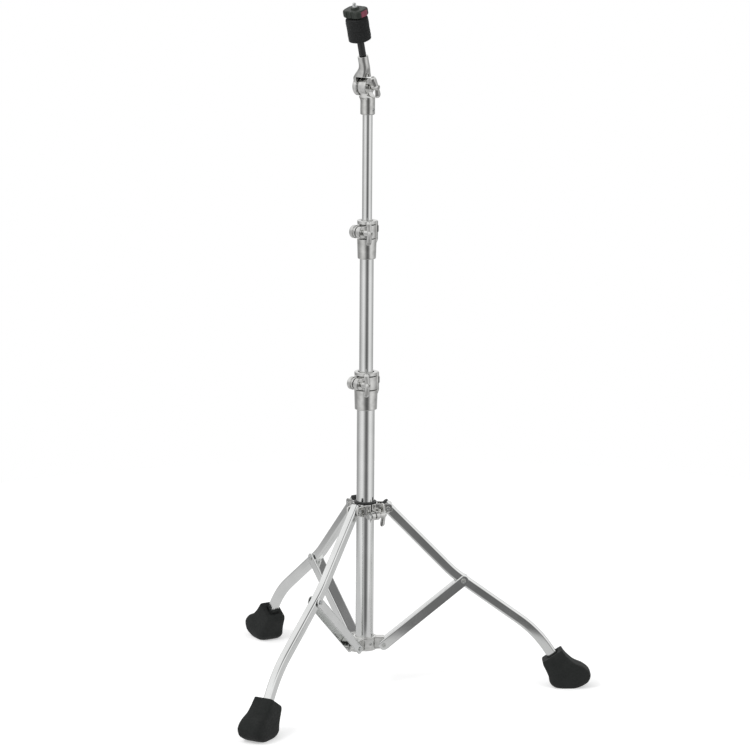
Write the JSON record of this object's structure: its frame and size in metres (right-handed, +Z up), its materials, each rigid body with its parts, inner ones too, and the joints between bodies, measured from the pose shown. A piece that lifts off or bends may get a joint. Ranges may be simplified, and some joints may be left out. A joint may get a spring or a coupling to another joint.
{
  "type": "straight cymbal stand",
  "caption": "Folding straight cymbal stand: braced legs with rubber feet, telescoping tubes with wing bolt clamps, and a tilter with felts and a quick release nut.",
  "frame": {"origin": "middle of the stand's footprint on the floor, which is the middle of its bounding box seen from above", "axes": "+Z up along the tubes, +X towards the leg named right, -Y towards the camera of the picture"},
  "size_m": [0.5512, 0.6318, 1.1005],
  "materials": {
    "chrome_tube": "mirror bright chrome plate on steel tube",
    "cast_chrome": "chrome plate on die castings, slightly soft",
    "steel": "zinc plated small hardware",
    "rubber": "matt moulded rubber",
    "nylon": "matt moulded nylon",
    "felt": "pressed wool felt",
    "nut_plastic": "fine grained moulded plastic",
    "red_plastic": "satin moulded plastic"
  },
  "bodies": {
    "base": {"base_tube": "chrome_tube", "lower_collar": "cast_chrome", "lower_collar_screw": "steel", "base_clamp": "cast_chrome", "base_clamp_nut": "steel", "lower_rivet_right": "steel", "lower_rivet_rear": "steel", "lower_rivet_front": "steel"},
    "base_wing": {"base_clamp_wing_bolt": "cast_chrome"},
    "leg_collar": {"leg_collar": "cast_chrome", "leg_collar_bushing": "nylon", "leg_collar_nut": "steel", "upper_rivet_right": "steel", "upper_rivet_rear": "steel", "upper_rivet_front": "steel"},
    "collar_wing": {"leg_collar_wing_bolt": "cast_chrome"},
    "leg_right": {"leg_right": "chrome_tube", "leg_cap_right": "nylon", "foot_right": "rubber"},
    "brace_right": {"brace_right": "chrome_tube", "middle_rivet_left_right": "steel", "middle_rivet_right_right": "steel"},
    "leg_rear": {"leg_rear": "chrome_tube", "leg_cap_rear": "nylon", "foot_rear": "rubber"},
    "brace_rear": {"brace_rear": "chrome_tube", "middle_rivet_left_rear": "steel", "middle_rivet_right_rear": "steel"},
    "leg_front": {"leg_front": "chrome_tube", "leg_cap_front": "nylon", "foot_front": "rubber"},
    "brace_front": {"brace_front": "chrome_tube", "middle_rivet_left_front": "steel", "middle_rivet_right_front": "steel"},
    "base_bushing": {"base_clamp_bushing": "nylon"},
    "middle_column": {"middle_tube": "chrome_tube", "middle_tube_glide": "nylon", "upper_clamp": "cast_chrome", "upper_clamp_nut": "steel"},
    "upper_wing": {"upper_clamp_wing_bolt": "cast_chrome"},
    "upper_bushing": {"upper_clamp_bushing": "nylon"},
    "top_column": {"top_tube": "chrome_tube", "top_tube_glide": "nylon", "tilter_lower_arm": "cast_chrome", "tilter_washer": "steel", "tilter_set_screw": "steel"},
    "tilter_head": {"tilter_upper_arm": "cast_chrome", "tilter_nut": "steel", "cymbal_rod": "steel", "rod_sleeve": "nylon", "seat_washer": "nylon"},
    "tilter_wing": {"tilter_wing_bolt": "cast_chrome"},
    "lower_felt": {"lower_felt": "felt"},
    "upper_felt": {"upper_felt": "felt"},
    "cymbal_nut": {"cymbal_nut": "nut_plastic", "nut_button_spring": "steel"},
    "nut_button": {"nut_button": "red_plastic"}
  },
  "joints": [
    {"name": "collar_slide", "type": "slide", "parent": "base", "child": "leg_collar", "axis": [0, 0, 1], "range_m": [0, 0.101]},
    {"name": "leg_right_hinge", "type": "hinge", "parent": "leg_collar", "child": "leg_right", "pos_m": [-0.04727, 0, 0.29495], "axis": [0, 1, 0], "range_deg": [0, 33.5]},
    {"name": "brace_right_hinge", "type": "hinge", "parent": "base", "child": "brace_right", "pos_m": [-0.05247, 0, 0.0698], "axis": [0, -1, 0], "range_deg": [0, 35.6]},
    {"name": "leg_rear_hinge", "type": "hinge", "parent": "leg_collar", "child": "leg_rear", "pos_m": [-0.10157, 0.03135, 0.29495], "axis": [-0.866, -0.5, 0], "range_deg": [0, 33.5]},
    {"name": "brace_rear_hinge", "type": "hinge", "parent": "base", "child": "brace_rear", "pos_m": [-0.09897, 0.02685, 0.0698], "axis": [0.866, 0.5, 0], "range_deg": [0, 35.6]},
    {"name": "leg_front_hinge", "type": "hinge", "parent": "leg_collar", "child": "leg_front", "pos_m": [-0.10157, -0.03135, 0.29495], "axis": [0.866, -0.5, 0], "range_deg": [0, 33.5]},
    {"name": "brace_front_hinge", "type": "hinge", "parent": "base", "child": "brace_front", "pos_m": [-0.09897, -0.02685, 0.0698], "axis": [-0.866, 0.5, 0], "range_deg": [0, 35.6]},
    {"name": "base_wing_turn", "type": "hinge", "parent": "base", "child": "base_wing", "pos_m": [-0.09832, -0.01485, 0.4987], "axis": [0.7071, -0.7071, 0], "range_deg": [0, 360]},
    {"name": "collar_wing_turn", "type": "hinge", "parent": "leg_collar", "child": "collar_wing", "pos_m": [-0.06907, -0.02494, 0.28695], "axis": [0.866, 0.5, 0], "range_deg": [0, 45]},
    {"name": "middle_swivel", "type": "hinge", "parent": "base", "child": "base_bushing", "pos_m": [-0.08347, 0, 0.5], "axis": [0, 0, 1], "continuous": true},
    {"name": "middle_slide", "type": "slide", "parent": "base_bushing", "child": "middle_column", "axis": [0, 0, 1], "range_m": [-0.175, 0.165]},
    {"name": "upper_wing_turn", "type": "hinge", "parent": "middle_column", "child": "upper_wing", "pos_m": [-0.09606, -0.01259, 0.7402], "axis": [0.7071, -0.7071, 0], "range_deg": [0, 360]},
    {"name": "top_swivel", "type": "hinge", "parent": "middle_column", "child": "upper_bushing", "pos_m": [-0.08347, 0, 0.74], "axis": [0, 0, 1], "continuous": true},
    {"name": "top_slide", "type": "slide", "parent": "upper_bushing", "child": "top_column", "axis": [0, 0, 1], "range_m": [-0.16, 0.21]},
    {"name": "tilter_hinge", "type": "hinge", "parent": "top_column", "child": "tilter_head", "pos_m": [-0.08347, 0, 0.9673], "axis": [0.809, -0.5878, 0], "range_deg": [-101, 69]},
    {"name": "tilter_wing_turn", "type": "hinge", "parent": "top_column", "child": "tilter_wing", "pos_m": [-0.08347, 0, 0.9673], "axis": [0.809, -0.5878, 0], "range_deg": [0, 360]},
    {"name": "cymbal_nut_slide", "type": "slide", "parent": "tilter_head", "child": "cymbal_nut", "axis": [-0.162, -0.223, 0.9613], "range_m": [0, 0.06]},
    {"name": "upper_felt_slide", "type": "slide", "parent": "tilter_head", "child": "upper_felt", "axis": [-0.162, -0.223, 0.9613], "range_m": [0, 0.04]},
    {"name": "lower_felt_slide", "type": "slide", "parent": "tilter_head", "child": "lower_felt", "axis": [-0.162, -0.223, 0.9613], "range_m": [0, 0.02]},
    {"name": "nut_button_press", "type": "slide", "parent": "cymbal_nut", "child": "nut_button", "axis": [-0.7676, 0.6406, 0.0192], "range_m": [0, 0.002], "stiffness_N_per_m": 900, "springref_m": -0.002, "deforming": ["nut_button_spring"]}
  ],
  "couplings": [
    {"joint": "leg_right_hinge", "follows": "collar_slide", "rad_per_m": 5.7771},
    {"joint": "brace_right_hinge", "follows": "collar_slide", "rad_per_m": 6.1361},
    {"joint": "leg_rear_hinge", "follows": "collar_slide", "rad_per_m": 5.7771},
    {"joint": "brace_rear_hinge", "follows": "collar_slide", "rad_per_m": 6.1361},
    {"joint": "leg_front_hinge", "follows": "collar_slide", "rad_per_m": 5.7771},
    {"joint": "brace_front_hinge", "follows": "collar_slide", "rad_per_m": 6.1361},
    {"joint": "upper_felt_slide", "follows": "cymbal_nut_slide", "ratio": 0.6},
    {"joint": "lower_felt_slide", "follows": "cymbal_nut_slide", "ratio": 0.3}
  ]
}
